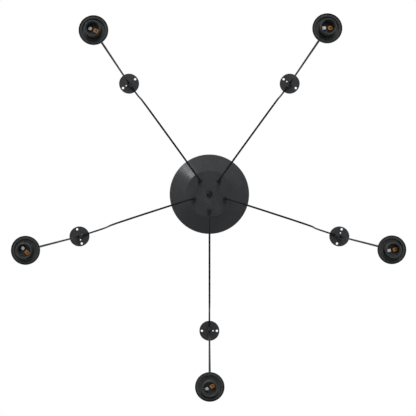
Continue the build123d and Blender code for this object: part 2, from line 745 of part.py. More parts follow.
def contact_outline(tip, end):
    """Side view of a sprung contact leaf under the socket's floor, drawn away from the axis:
    a flat foot at its outer end and a leaf that slopes down towards its tip."""
    heel = end - CONTACT_FOOT
    return [
        (end, 0),
        (heel, 0),
        (tip, -CONTACT_RISE),
        (tip, -CONTACT_RISE - CONTACT_THICKNESS),
        (heel, -CONTACT_THICKNESS),
        (end, -CONTACT_THICKNESS),
    ]


def socket_floor_point(number):
    """Middle of the floor that a socket's contacts lie on."""
    height = rim_height(number) - SOCKET_BELOW_RIM + contact_floor_depth
    return arm_point(number, STAR_RADIUS, height)


def make_centre_contact(number):
    """Brass leaf with a hole, whose tip comes close to the socket's axis."""
    floor_point = socket_floor_point(number)
    turn = CONTACT_TURNS[number - 1]
    hole_place = (CENTRE_CONTACT_TIP + CENTRE_CONTACT_END) / 2
    with BuildPart() as centre_contact:
        with BuildSketch(upright_plane(floor_point, turn)):
            with BuildLine():
                Polyline(*contact_outline(CENTRE_CONTACT_TIP, CENTRE_CONTACT_END), close=True)
            make_face()
        extrude(amount=CENTRE_CONTACT_WIDTH / 2, both=True)
        with BuildSketch(level_plane(floor_point, turn)):
            with Locations((hole_place, 0)):
                Circle(CENTRE_CONTACT_HOLE / 2)
        extrude(amount=-CONTACT_RISE - CONTACT_THICKNESS, mode=Mode.SUBTRACT)
    return centre_contact.part


def make_side_contact(number):
    """Nickel-plated leaf on the other side of the socket's axis."""
    turn = CONTACT_TURNS[number - 1] + 180.0
    with BuildPart() as side_contact:
        with BuildSketch(upright_plane(socket_floor_point(number), turn)):
            with BuildLine():
                Polyline(*contact_outline(SIDE_CONTACT_TIP, SIDE_CONTACT_END), close=True)
            make_face()
        extrude(amount=SIDE_CONTACT_WIDTH / 2, both=True)
    return side_contact.part


# ---------------------------------------------------------------- build and write

os.makedirs("parts", exist_ok=True)

save(make_canopy_shell(), "canopy_shell")
save(make_ceiling_bracket(), "ceiling_bracket")
save(make_centre_stud(), "centre_stud")
save(make_stud_nut(), "stud_nut")
save(make_canopy_cap_nut(), "canopy_cap_nut")
save(make_terminal_block(), "terminal_block")
save(make_terminal_screws(), "terminal_screws")
save(make_cord_grips(), "cord_grips")
save(make_grip_nuts(), "grip_nuts")
save(make_clamp_screws(), "clamp_screws")

for arm in range(1, ARM_COUNT + 1):
    save(make_feed_cord(arm), f"feed_cord_{arm}")
    save(make_ceiling_plate(arm), f"ceiling_plate_{arm}")
    save(make_outlet_ring(arm), f"outlet_ring_{arm}")
    save(make_drop_cord(arm), f"drop_cord_{arm}")
    save(make_cup_gland(arm), f"cup_gland_{arm}")
    save(make_holder_cup(arm), f"holder_cup_{arm}")
    save(make_shade_ring(arm), f"shade_ring_{arm}")
    save(make_lamp_socket(arm), f"lamp_socket_{arm}")
    save(make_centre_contact(arm), f"centre_contact_{arm}")
    save(make_side_contact(arm), f"side_contact_{arm}")
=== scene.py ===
"""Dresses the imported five-light spider pendant: cords, threads, nuts, cord grips, lamp sockets and
contacts, finishes for the parts that stay as they are, and a plain stage.

Metres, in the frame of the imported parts: the ceiling is the plane Z = 0 and the light hangs below
it, with the canopy on the Z axis. Arm 1 points along +Y, and the others follow it every 72
degrees, anticlockwise as seen from above.
"""

import json
import math

import bpy
import numpy as np
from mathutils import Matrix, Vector


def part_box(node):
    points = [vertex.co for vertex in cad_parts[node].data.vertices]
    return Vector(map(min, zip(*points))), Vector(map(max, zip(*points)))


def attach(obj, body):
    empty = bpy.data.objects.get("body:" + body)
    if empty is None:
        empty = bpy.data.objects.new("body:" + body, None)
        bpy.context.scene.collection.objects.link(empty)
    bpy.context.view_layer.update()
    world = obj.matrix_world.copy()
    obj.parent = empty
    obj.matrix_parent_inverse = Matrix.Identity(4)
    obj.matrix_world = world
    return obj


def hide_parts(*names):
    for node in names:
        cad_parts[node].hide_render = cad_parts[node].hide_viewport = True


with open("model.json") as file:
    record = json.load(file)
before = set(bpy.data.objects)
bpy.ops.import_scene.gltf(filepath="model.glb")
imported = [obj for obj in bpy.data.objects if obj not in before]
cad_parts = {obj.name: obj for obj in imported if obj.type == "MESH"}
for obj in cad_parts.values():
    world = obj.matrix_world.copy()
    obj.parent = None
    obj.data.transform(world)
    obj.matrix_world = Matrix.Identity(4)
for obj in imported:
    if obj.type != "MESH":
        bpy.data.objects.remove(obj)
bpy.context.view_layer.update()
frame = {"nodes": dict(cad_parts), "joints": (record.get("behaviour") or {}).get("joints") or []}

bl_info = {
    "name": "Spider Pendant Dressing",
    "version": (1, 0, 0),
    "blender": (4, 5, 0),
    "location": "View3D > Sidebar > Pendant",
    "description": "Dresses a packed five-light spider pendant with cords, fittings and finishes",
    "category": "Object",
}

# ---- places read from the frame

ARM_NUMBERS = (1, 2, 3, 4, 5)
TURN = 2 * math.pi


def pivot(number):
    """Point that a pendant swings about, in the mouth of its ceiling plate's boss."""
    name = f"swing_out_{number}"
    joint = next(joint for joint in frame["joints"] if joint["name"] == name)
    return np.array(joint["pos_m"])


def outwards(number):
    """Unit vector along an arm, away from the canopy's axis."""
    along = pivot(number) * (1, 1, 0)
    return along / np.linalg.norm(along)


def low(node):
    """Lowest height of a node."""
    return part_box(node)[0].z


def high(node):
    """Highest height of a node."""
    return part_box(node)[1].z


def arm_place(number, reach, height):
    """Point on an arm at a distance from the canopy's axis."""
    return outwards(number) * reach + np.array((0, 0, height))


def under_plate(number, height):
    """Point on the upright axis of a pendant."""
    return pivot(number) * (1, 1, 0) + np.array((0, 0, height))


# Feed cords: distance outwards from the axis of the grip, then height above the axis of the plate's
# spout, as in the CAD source.
GRIP_CIRCLE_RADIUS = 0.0476
SPOUT_AXIS_HEIGHT = -0.007
FEED_ROUTES = (
    (
        (0, -0.029), (0, -0.069), (0.0014, -0.112), (0.0094, -0.151), (0.0294, -0.182),
        (0.0624, -0.198), (0.1044, -0.204), (0.1504, -0.206), (0.1954, -0.203),
        (0.2334, -0.193), (0.2564, -0.168), (0.2684, -0.129), (0.2784, -0.087),
        (0.2904, -0.047), (0.3014, -0.0195), (0.3139, -0.005), (0.3314, 0), (0.3544, 0),
    ),
    (
        (0, -0.029), (0, -0.07), (0.0019, -0.114), (0.0114, -0.153), (0.0324, -0.184),
        (0.0654, -0.2), (0.1054, -0.207), (0.1444, -0.208), (0.1814, -0.202),
        (0.2104, -0.188), (0.2314, -0.162), (0.2444, -0.124), (0.2554, -0.083),
        (0.2684, -0.045), (0.2794, -0.017), (0.2954, -0.003), (0.3224, 0), (0.3544, 0),
    ),
    (
        (0, -0.029), (0, -0.068), (0.001, -0.11), (0.0084, -0.15), (0.0284, -0.182),
        (0.0614, -0.199), (0.1034, -0.206), (0.1504, -0.2085), (0.1974, -0.206),
        (0.2354, -0.196), (0.2604, -0.173), (0.2754, -0.135), (0.2874, -0.091),
        (0.3014, -0.0485), (0.3124, -0.0185), (0.3234, -0.0065), (0.3379, 0), (0.3544, 0),
    ),
    (
        (0, -0.029), (0, -0.069), (0.0016, -0.113), (0.0104, -0.153), (0.0314, -0.183),
        (0.0654, -0.198), (0.1084, -0.204), (0.1554, -0.2055), (0.2014, -0.204),
        (0.2384, -0.195), (0.2634, -0.172), (0.2784, -0.134), (0.2899, -0.091),
        (0.3034, -0.049), (0.3134, -0.019), (0.3244, -0.0065), (0.3384, 0), (0.3544, 0),
    ),
    (
        (0, -0.029), (0, -0.067), (0.0012, -0.109), (0.0074, -0.148), (0.0254, -0.18),
        (0.0564, -0.198), (0.0974, -0.206), (0.1424, -0.209), (0.1844, -0.204),
        (0.2204, -0.191), (0.2434, -0.165), (0.2554, -0.127), (0.2644, -0.086),
        (0.2754, -0.046), (0.2874, -0.018), (0.3044, -0.0035), (0.3264, 0), (0.3544, 0),
    ),
)
FEED_LENGTHS = (0.615, 0.612, 0.615, 0.613, 0.617)

# Degrees that each arm's brass contact is turned by about its socket's axis, arm 1 to arm 5. The
# nickel-plated contact stands opposite.
CONTACT_TURNS = (-26, 45, 21, 0, -10)
OPPOSITE = 180

# ---- settings


def length_setting(name, description, default):
    """Length setting in metres."""
    return bpy.props.FloatProperty(
        name=name, description=description, default=default, min=0, precision=5, unit="LENGTH"
    )


def count_setting(name, description, default):
    """Whole-number setting."""
    return bpy.props.IntProperty(name=name, description=description, default=default, min=3)


def colour_setting(name, description, default):
    """Colour setting, in linear values."""
    return bpy.props.FloatVectorProperty(
        name=name, description=description, default=default, size=3, min=0, max=1, subtype="COLOR"
    )


def plain_setting(name, description, default):
    """Setting without a unit."""
    return bpy.props.FloatProperty(name=name, description=description, default=default, min=0)


class CordSettings(bpy.types.PropertyGroup):
    """Sizes of the cords."""

    diameter: length_setting("Diameter", "Outside diameter of the round cord", 0.005)
    head_diameter: length_setting("Head", "Diameter of the head that carries a cord", 0.0068)
    roundness: count_setting("Roundness", "Steps in a quarter of the cord's section", 4)


class FittingSettings(bpy.types.PropertyGroup):
    """Sizes of the stud, the nuts, the cord grips and the cup glands."""

    thread_pitch: length_setting("Thread pitch", "Pitch of the fine M10 threads", 0.001)
    thread_depth: length_setting("Thread depth", "Depth of the fine M10 threads", 0.0006)
    thread_radius: length_setting("Thread radius", "Outside radius of the M10 threads", 0.00495)
    cord_bore: length_setting("Cord bore", "Radius of the bore for the cord", 0.00255)
    edge: length_setting("Edge", "Eased width of the fittings' edges", 0.0004)
    grip_flange_radius: length_setting("Grip flange", "Radius of a grip's flange", 0.0066)
    grip_flange_height: length_setting("Flange height", "Height of a grip's flange", 0.003)
    grip_body_radius: length_setting("Grip body", "Radius of a grip's ribbed body", 0.0058)
    grip_tip_radius: length_setting("Grip tip", "Radius of a grip's tip", 0.0043)
    grip_ribs: count_setting("Grip ribs", "Ribs round a grip's body", 18)
    grip_rib_depth: length_setting("Rib depth", "Depth of the grooves between the ribs", 0.0004)
    stud_nut_flats: length_setting("Stud nut", "Width of the stud nut across its flats", 0.016)
    grip_nut_flats: length_setting("Grip nuts", "Width of the grip nuts across their flats", 0.014)
    cap_dome: length_setting("Cap dome", "Height of the cap nut's rounded end", 0.0055)


class SocketSettings(bpy.types.PropertyGroup):
    """Sizes of the lamp sockets and of the threaded rings round them."""

    bore_radius: length_setting("Lamp bore", "Radius of the bore at its thread roots", 0.0135)
    lamp_pitch: length_setting("Lamp pitch", "Pitch of the lamp's thread", 0.00363)
    lamp_thread: length_setting("Lamp thread", "Depth of the lamp's thread", 0.0011)
    mouth_chamfer: length_setting("Mouth chamfer", "Width of the chamfer round the bore", 0.0015)
    bore_end: length_setting("Bore end", "Depth of the bore's inner end", 0.0105)
    chamber_radius: length_setting("Chamber", "Radius of the contacts' chamber", 0.0145)
    floor_depth: length_setting("Floor depth", "Depth of the floor under the contacts", 0.016)
    floor_thickness: length_setting("Floor", "Thickness of the floor", 0.008)
    skirt_radius: length_setting("Skirt radius", "Radius of the threaded skirt", 0.01675)
    skirt_height: length_setting("Skirt height", "Height of the threaded skirt", 0.031)
    skirt_chamfer: length_setting("Skirt chamfer", "Chamfer at the skirt's lower edge", 0.001)
    body_radius: length_setting("Body radius", "Radius of the body over the skirt", 0.015)
    shoulder_height: length_setting("Shoulder", "Height of the shoulder over the mouth", 0.046)
    top_radius: length_setting("Top radius", "Radius of the socket's top", 0.009)
    wiring_radius: length_setting("Wiring space", "Radius of the hollow for the wires", 0.012)
    entry_radius: length_setting("Entry radius", "Radius of the threaded entry", 0.005)
    entry_depth: length_setting("Entry depth", "Depth of the threaded entry", 0.008)
    ring_pitch: length_setting("Ring pitch", "Pitch of the coarse thread on the skirt", 0.0042)
    ring_thread: length_setting("Ring thread", "Depth of the coarse thread on the skirt", 0.0007)
    ring_band: length_setting("Ring band", "Thickness of the ring's outer band", 0.003)
    ring_band_inside: length_setting("Band inside", "Inner radius of the outer band", 0.024)
    ring_step: length_setting("Ring step", "Height of the web over the band's face", 0.004)
    ring_web: length_setting("Ring web", "Thickness of the ring's web", 0.003)
    ring_web_radius: length_setting("Web radius", "Outer radius of the web", 0.0265)
    ring_hub_radius: length_setting("Ring hub", "Outer radius of the hub", 0.0195)


class ContactSettings(bpy.types.PropertyGroup):
    """Sizes of the contact leaves."""

    thickness: length_setting("Thickness", "Thickness of the leaves", 0.0008)
    rise: length_setting("Rise", "Height of a leaf's free end over its foot", 0.0045)
    bend: length_setting("Bend", "Width of the bend beside the foot", 0.0009)
    foot: length_setting("Foot", "Length of the foot", 0.0006)
    centre_tip: length_setting("Brass tip", "From the axis to the brass leaf's tip", 0.001)
    centre_end: length_setting("Brass end", "From the axis to the brass leaf's foot end", 0.0122)
    centre_width: length_setting("Brass width", "Width of the brass leaf", 0.008)
    centre_hole: length_setting("Brass hole", "Diameter of the hole in the brass leaf", 0.0032)
    side_tip: length_setting("Nickel tip", "From the axis to the nickel leaf's tip", 0.0034)
    side_end: length_setting("Nickel end", "From the axis to the nickel leaf's foot end", 0.012)
    side_width: length_setting("Nickel width", "Width of the nickel leaf", 0.0062)


class FinishSettings(bpy.types.PropertyGroup):
    """Colours of the finishes."""

    paint: colour_setting("Paint", "Satin powder coat", (0.0215, 0.0225, 0.025))
    plastic: colour_setting("Plastic", "Black moulded plastic", (0.026, 0.027, 0.028))
    sheath: colour_setting("Sheath", "Sheath of the cords", (0.0055, 0.0055, 0.006))
    nylon: colour_setting("Nylon", "Black nylon cord grips and glands", (0.007, 0.007, 0.0075))
    zinc: colour_setting("Zinc", "Zinc-plated steel", (0.56, 0.57, 0.58))
    dark_steel: colour_setting("Dark steel", "Blackened steel", (0.016, 0.016, 0.017))
    pale_plastic: colour_setting("Pale plastic", "Terminal block", (0.72, 0.7, 0.64))
    brass: colour_setting("Brass", "Centre contacts", (0.285, 0.13, 0.036))
    nickel: colour_setting("Nickel", "Side contacts", (0.44, 0.44, 0.445))


class StageSettings(bpy.types.PropertyGroup):
    """Camera, floor and light."""

    focal_length: plain_setting("Focal length", "Lens in millimetres, on a 36 mm sensor", 48.98)
    camera_place: bpy.props.FloatVectorProperty(
        name="Camera", description="Place of the camera, which looks straight up",
        default=(-0.00255, 0.02676, -1.7), subtype="TRANSLATION", unit="LENGTH",
    )
    camera_shift: bpy.props.FloatVectorProperty(
        name="Shift", description="Shift of the picture's middle, in picture widths",
        default=(-0.00132, -0.01178), size=2,
    )
    floor_height: bpy.props.FloatProperty(
        name="Floor height", description="Below the ceiling", default=-6, unit="LENGTH"
    )
    floor_colour: colour_setting("Floor", "Colour of the floor", (0.8, 0.8, 0.8))
    floor_glow: plain_setting("Floor lift", "How much the floor is lifted towards white", 0.62)
    world_strength: plain_setting("World", "Strength of the even light", 0.4)
    key_power: plain_setting("Key", "Power of the key light in watts", 38)
    fill_power: plain_setting("Fill", "Power of the fill light in watts", 520)


class PendantSettings(bpy.types.PropertyGroup):
    """All the settings of the pendant's dressing."""

    cords: bpy.props.PointerProperty(type=CordSettings, name="Cords")
    fittings: bpy.props.PointerProperty(type=FittingSettings, name="Fittings")
    sockets: bpy.props.PointerProperty(type=SocketSettings, name="Sockets")
    contacts: bpy.props.PointerProperty(type=ContactSettings, name="Contacts")
    finishes: bpy.props.PointerProperty(type=FinishSettings, name="Finishes")
    stage: bpy.props.PointerProperty(type=StageSettings, name="Stage")


# ---- surfaces


CORNER_POINTS = 4
SHARP_EDGE_DEGREES = 35
ON_RADIUS = 1e-6  # points this near to a thread's radius carry its ridge
STEPS_TO_PITCH = 6


def outline(corners, steps, ease=0.0, closed=True):
    """Outline of (radius, height) points with eased corners and divided runs.

    Each corner C is replaced by the quadratic curve (1-t)^2 A + 2t(1-t) C + t^2 B, where A and B
    lie on the runs beside it, the ease away or a third of the run if that is less. The run that
    follows corner i is divided into steps[i] equal lengths. The ends of an open outline stay sharp.
    """
    corners = np.array(corners, float)
    count = len(corners)
    back = np.roll(corners, 1, axis=0) - corners
    on = np.roll(corners, -1, axis=0) - corners
    back_length = np.linalg.norm(back, axis=1)[:, None]
    on_length = np.linalg.norm(on, axis=1)[:, None]
    reach = np.minimum(ease, np.minimum(back_length, on_length) / 3)
    before = corners + back / back_length * reach
    after = corners + on / on_length * reach
    t = np.linspace(0, 1, CORNER_POINTS)[:, None]
    ends = () if closed else (0, count - 1)
    parts = []
    for i in range(count):
        if ease == 0 or i in ends:
            before[i] = after[i] = corners[i]
            parts.append(corners[i : i + 1])
        else:
            parts.append((1 - t) ** 2 * before[i] + 2 * t * (1 - t) * corners[i] + t**2 * after[i])
    runs = []
    for i in range(count if closed else count - 1):
        share = np.linspace(0, 1, steps[i] + 1)[1:-1, None]
        runs += [parts[i], after[i] + (before[(i + 1) % count] - after[i]) * share]
    if not closed:
        runs.append(parts[-1])
    return np.concatenate(runs)


def round_angles(segments):
    """Equal angles round a full turn, as a column."""
    return np.arange(segments)[:, None] * TURN / segments


def grid_quads(rows, columns, wrap_columns):
    """Quads of a grid of points whose rows wrap round: point (row, column) has the number
    row * columns + column."""
    row = np.arange(rows)[:, None]
    column = np.arange(columns if wrap_columns else columns - 1)[None, :]
    next_row = (row + 1) % rows
    next_column = (column + 1) % columns
    corners = (
        row * columns + column,
        next_row * columns + column,
        next_row * columns + next_column,
        row * columns + next_column,
    )
    return np.stack(corners, axis=-1).reshape(-1, 4)


def closed_grid(points, poles):
    """Closed surface from an array of rows by columns by 3, whose rows wrap round. With poles, the
    first and last columns are each one point; otherwise the columns wrap round as well."""
    rows, columns = points.shape[:2]
    if not poles:
        return points.reshape(-1, 3), [grid_quads(rows, columns, True)]
    middle = points[:, 1:-1]
    inner = columns - 2
    vertices = np.concatenate((middle.reshape(-1, 3), points[:1, 0], points[:1, -1]))
    row = np.arange(rows)
    next_row = (row + 1) % rows
    first = np.stack((np.full(rows, rows * inner), next_row * inner, row * inner), axis=-1)
    end = inner - 1
    last = np.stack(
        (np.full(rows, rows * inner + 1), row * inner + end, next_row * inner + end), axis=-1
    )
    return vertices, [grid_quads(rows, inner, False), first, last]


def faced_outwards(vertices, faces):
    """The same closed surface with its faces outwards: the sum over its triangles (a, b, c) of
    a . (b x c) is six times its volume, and where that is negative every face is turned round."""
    volume = 0.0
    for block in faces:
        corners = vertices[block]
        for second in range(1, block.shape[1] - 1):
            normal = np.cross(corners[:, second], corners[:, second + 1])
            volume += np.sum(corners[:, 0] * normal)
    if volume < 0:
        faces = [block[:, ::-1] for block in faces]
    return vertices, faces


def turned(points, centre, segments, swell=0.0):
    """Surface of revolution about the upright axis through centre: the outline's point (r, h) at
    angle a is centre + ((r + s) cos a, (r + s) sin a, h), where s is the swell, an array of angles
    by outline points. An outline that starts and ends on the axis is closed there by poles."""
    angle = round_angles(segments)
    radius = points[None, :, 0] + swell + 0 * angle
    height = points[None, :, 1] + 0 * angle
    grid = np.stack((radius * np.cos(angle), radius * np.sin(angle), height), axis=-1)
    poles = bool(points[0, 0] == 0 and points[-1, 0] == 0)
    return faced_outwards(*closed_grid(grid + np.array(centre), poles))


def joined(shapes):
    """Several surfaces as one: the vertex numbers of each follow those of the ones before it."""
    vertices, faces, start = [], [], 0
    for shape_vertices, shape_faces in shapes:
        vertices.append(shape_vertices)
        faces += [block + start for block in shape_faces]
        start += len(shape_vertices)
    return np.concatenate(vertices), faces


def between(heights, low_end, high_end, fade):
    """1 between two heights and 0 beyond them, with a straight slope inside each end."""
    rise = np.clip((heights - low_end) / fade, 0, 1)
    fall = np.clip((high_end - heights) / fade, 0, 1)
    return rise * fall


def thread(points, segments, radius, pitch, depth, low_end, high_end):
    """Helical ridge on the outline's points at a radius: the swell at angle a and height h is
    depth * (1 + cos(full turn * h / pitch - a)) / 2, positive or negative, and it fades out over
    half a pitch at its two ends."""
    angle = round_angles(segments)
    heights = points[None, :, 1]
    wave = (1 + np.cos(TURN * heights / pitch - angle)) / 2
    on_thread = np.abs(points[None, :, 0] - radius) < ON_RADIUS
    return depth * wave * on_thread * between(heights, low_end, high_end, pitch / 2)


def flutes(points, segments, count, depth, low_end, high_end):
    """Upright grooves: the swell at angle a is -depth * (1 - cos(count * a)) / 2 between two
    heights, fading out over an eighth of their distance at each end."""
    angle = round_angles(segments)
    fade = (high_end - low_end) / 8
    groove = (1 - np.cos(count * angle)) / 2
    return -depth * groove * between(points[None, :, 1], low_end, high_end, fade)


# ---- pieces


CORD_STEPS = 8  # steps of a cord between two of its control points
CORD_ORDER = 3  # order of its spline, which keeps it close to them


def new_object(name, data):
    """Object of this data, linked to the scene."""
    made = bpy.data.objects.new(name, data)
    bpy.context.scene.collection.objects.link(made)
    return made


def add_dressed(name, data, body, look, replaces):
    """New piece of this data on a body, in a finish, standing for the nodes that it replaces."""
    data.materials.append(finish(look))
    piece = new_object(name, data)
    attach(piece, body)
    if replaces:
        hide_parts(*replaces)
    return piece


def add_piece(name, shape, body, look, *replaces):
    """Makes a mesh piece of a surface, smooth but for its sharp edges."""
    vertices, faces = shape
    mesh = bpy.data.meshes.new(name)
    mesh.from_pydata(vertices.tolist(), [], [face for block in faces for face in block.tolist()])
    mesh.shade_smooth()
    mesh.set_sharp_from_angle(angle=math.radians(SHARP_EDGE_DEGREES))
    return add_dressed(name, mesh, body, look, replaces)


def add_cord(node, points, body, settings):
    """Makes the round cord that stands for a node, along a smooth open spline with these control
    points."""
    name = f"{node}_flex"
    curve = bpy.data.curves.new(name, "CURVE")
    curve.dimensions = "3D"
    curve.bevel_depth = settings.diameter / 2
    curve.bevel_resolution = settings.roundness
    curve.resolution_u = CORD_STEPS
    curve.use_fill_caps = True
    spline = curve.splines.new("NURBS")
    spline.points.add(len(points) - 1)
    spline.points.foreach_set("co", np.column_stack((points, np.ones(len(points)))).ravel())
    spline.order_u = CORD_ORDER
    spline.use_endpoint_u = True
    return add_dressed(name, curve, body, "smooth_cord_sheath", [node])


def finish_nodes(nodes, look):
    """Gives CAD nodes that stay as they are their finish."""
    for node in nodes:
        materials = frame["nodes"][node].data.materials
        materials.clear()
        materials.append(finish(look))


# ---- finishes


EVEN = (1, 1, 1)
NOISE_RANGE = (0.3, 0.7)  # nearly all of the noise lies between these values

# Each finish: its slot, its colour setting, then metallic, roughness and specular level, and three
# layers of noise:
# clouds: cells to the metre, detail, stretch, darkest and lightest share of the colour
# gloss: cells to the metre, detail, lowest and highest roughness
# grain: cells to the metre, detail, stretch, height of the relief in metres
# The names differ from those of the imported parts' own plain materials.
FINISHES = {
    # Orange peel about 1.5 mm across, faint cloudiness and uneven gloss
    "satin_powder_coat": (
        "black_paint", "paint", (0, 0.27, 0.16),
        (28, 4, EVEN, 0.86, 1.18), (60, 3, 0.24, 0.31), (700, 2, EVEN, 0.000025),
    ),
    # Fine grain and a soft gloss
    "black_nylon": (
        "black_plastic", "nylon", (0, 0.4, 0.3),
        (150, 3, EVEN, 0.8, 1.25), (300, 2, 0.34, 0.46), (2500, 2, EVEN, 0.00003),
    ),
    # Fine spark-eroded grain and a dull gloss
    "black_moulded_plastic": (
        "black_plastic", "plastic", (0, 0.5, 0.18),
        (90, 3, EVEN, 0.8, 1.25), (150, 2, 0.42, 0.56), (2500, 2, EVEN, 0.00003),
    ),
    # Smooth extruded sheath, faintly uneven, with a soft gloss
    "smooth_cord_sheath": (
        "cord_sheath", "sheath", (0, 0.45, 0.05),
        (120, 3, EVEN, 0.85, 1.2), (300, 2, 0.38, 0.52), (900, 1, EVEN, 0.00004),
    ),
    # Fine lines along X, a cloudy lustre and slight unevenness
    "zinc_plated_steel": (
        "zinc_steel", "zinc", (1, 0.36, 0.5),
        (70, 4, EVEN, 0.8, 1.1), (220, 3, 0.28, 0.46), (1500, 2, (0.05, 1, 1), 0.00002),
    ),
    # Dark oxide with a slightly worn, uneven gloss
    "blackened_steel": (
        "dark_steel", "dark_steel", (1, 0.28, 0.5),
        (400, 3, EVEN, 0.7, 1.5), (500, 3, 0.22, 0.34), (3000, 2, EVEN, 0.00002),
    ),
    # Faint flow pattern and a fine grain
    "pale_terminal_plastic": (
        "pale_plastic", "pale_plastic", (0, 0.45, 0.5),
        (60, 3, (1, 0.4, 1), 0.93, 1.05), (150, 2, 0.38, 0.52), (2200, 2, EVEN, 0.00003),
    ),
    # Rolling lines, tarnish and small dents
    "stamped_brass": (
        "contact_brass", "brass", (1, 0.34, 0.5),
        (500, 4, EVEN, 0.72, 1.1), (900, 3, 0.34, 0.5), (2600, 2, (0.2, 1, 1), 0.00003),
    ),
    "nickel_plated_strip": (
        "contact_nickel", "nickel", (1, 0.34, 0.5),
        (500, 4, EVEN, 0.72, 1.1), (900, 3, 0.34, 0.48), (2600, 2, (0.2, 1, 1), 0.00003),
    ),
}


def plain_material(name, colour, metallic, roughness, specular):
    """Material with these plain values on its shader; returns it and its shader node."""
    material = bpy.data.materials.new(name)
    material.use_nodes = True
    shader = material.node_tree.nodes["Principled BSDF"]
    shader.inputs["Base Color"].default_value = (*colour, 1)
    shader.inputs["Metallic"].default_value = metallic
    shader.inputs["Roughness"].default_value = roughness
    shader.inputs["Specular IOR Level"].default_value = specular
    return material, shader


def noise_over(material, cells, detail, stretch=EVEN):
    """Noise from 0 to 1 over the object's own coordinates, so many cells to the metre."""
    nodes, links = material.node_tree.nodes, material.node_tree.links
    place = nodes.new("ShaderNodeTexCoord")
    mapping = nodes.new("ShaderNodeMapping")
    mapping.inputs["Scale"].default_value = stretch
    noise = nodes.new("ShaderNodeTexNoise")
    noise.inputs["Scale"].default_value = cells
    noise.inputs["Detail"].default_value = detail
    links.new(place.outputs["Object"], mapping.inputs["Vector"])
    links.new(mapping.outputs["Vector"], noise.inputs["Vector"])
    return noise.outputs["Fac"]


def mottle(material, shader, noise, colour, darkest, lightest):
    """Colour that goes from the darkest to the lightest share of the given one over the noise."""
    nodes, links = material.node_tree.nodes, material.node_tree.links
    ramp = nodes.new("ShaderNodeValToRGB")
    for element, place, share in zip(ramp.color_ramp.elements, NOISE_RANGE, (darkest, lightest)):
        element.position = place
        element.color = (*(min(1, channel * share) for channel in colour), 1)
    links.new(noise, ramp.inputs["Fac"])
    links.new(ramp.outputs["Color"], shader.inputs["Base Color"])


def uneven_gloss(material, shader, noise, lowest, highest):
    """Roughness that goes from the lowest to the highest over the noise."""
    nodes, links = material.node_tree.nodes, material.node_tree.links
    spread = nodes.new("ShaderNodeMapRange")
    spread.inputs["From Min"].default_value, spread.inputs["From Max"].default_value = NOISE_RANGE
    spread.inputs["To Min"].default_value = lowest
    spread.inputs["To Max"].default_value = highest
    links.new(noise, spread.inputs["Value"])
    links.new(spread.outputs["Result"], shader.inputs["Roughness"])


def relief(material, shader, noise, height):
    """Surface relief of a real height over the noise."""
    nodes, links = material.node_tree.nodes, material.node_tree.links
    bump = nodes.new("ShaderNodeBump")
    bump.inputs["Distance"].default_value = height
    links.new(noise, bump.inputs["Height"])
    links.new(bump.outputs["Normal"], shader.inputs["Normal"])


def finish(name):
    """One of the finishes, made when it is first asked for."""
    material = bpy.data.materials.get(name)
    if material is None:
        setting, plain, clouds, gloss, grain = FINISHES[name][1:]
        colour = getattr(bpy.context.scene.pendant.finishes, setting)
        material, shader = plain_material(name, colour, *plain)
        mottle(material, shader, noise_over(material, *clouds[:3]), colour, *clouds[3:])
        uneven_gloss(material, shader, noise_over(material, *gloss[:2]), *gloss[2:])
        relief(material, shader, noise_over(material, *grain[:3]), *grain[3:])
    return material


# ---- stage


# Lamps: place and width of each, and the point that both face
KEY_PLACE, KEY_WIDTH = (-1.9, -2.1, -0.55), 0.5
FILL_PLACE, FILL_WIDTH = (0.4, -4.6, -5.2), 3.0
LIT_POINT = (0, 0, -0.2)
FLOOR_HALF_SIDE = 14.0
FLOOR_PLAIN = (0, 0.8, 0.2)  # metallic, roughness and specular level
FLOOR_CLOUDS = (1.5, 2)  # cells to the metre and detail
FLOOR_SHADES = (0.98, 1.02)  # darkest and lightest share of its colour
SENSOR_WIDTH = 36
WHITE = (1, 1, 1, 1)


def seen_plainly(tree):
    """1 on camera, glossy and transmission rays and 0 on all others."""
    rays = tree.nodes.new("ShaderNodeLightPath")
    value = rays.outputs["Is Camera Ray"]
    for kind in ("Is Glossy Ray", "Is Transmission Ray"):
        either = tree.nodes.new("ShaderNodeMath")
        either.operation = "MAXIMUM"
        tree.links.new(value, either.inputs[0])
        tree.links.new(rays.outputs[kind], either.inputs[1])
        value = either.outputs["Value"]
    return value


def white_backdrop():
    """World of even light that camera, glossy and transmission rays see as plain white."""
    world = bpy.data.worlds.new("white_backdrop")
    world.use_nodes = True
    nodes, links = world.node_tree.nodes, world.node_tree.links
    nodes.clear()
    mix = nodes.new("ShaderNodeMixShader")
    even_strength = bpy.context.scene.pendant.stage.world_strength
    for socket, strength in zip(mix.inputs[1:], (even_strength, 1)):
        shade = nodes.new("ShaderNodeBackground")
        shade.inputs["Color"].default_value = WHITE
        shade.inputs["Strength"].default_value = strength
        links.new(shade.outputs["Background"], socket)
    output = nodes.new("ShaderNodeOutputWorld")
    links.new(seen_plainly(world.node_tree), mix.inputs["Fac"])
    links.new(mix.outputs["Shader"], output.inputs["Surface"])
    bpy.context.scene.world = world


def floor_material(colour, glow):
    """Matt pale floor with a faint unevenness, lifted to nearly white on the rays that see it
    plainly, so that the object's shadow stays."""
    material, shader = plain_material("pale_floor", colour, *FLOOR_PLAIN)
    mottle(material, shader, noise_over(material, *FLOOR_CLOUDS), colour, *FLOOR_SHADES)
    tree = material.node_tree
    lift = tree.nodes.new("ShaderNodeMath")
    lift.operation = "MULTIPLY"
    lift.inputs[1].default_value = glow
    tree.links.new(seen_plainly(tree), lift.inputs[0])
    tree.links.new(lift.outputs["Value"], shader.inputs["Emission Strength"])
    shader.inputs["Emission Color"].default_value = WHITE
    return material


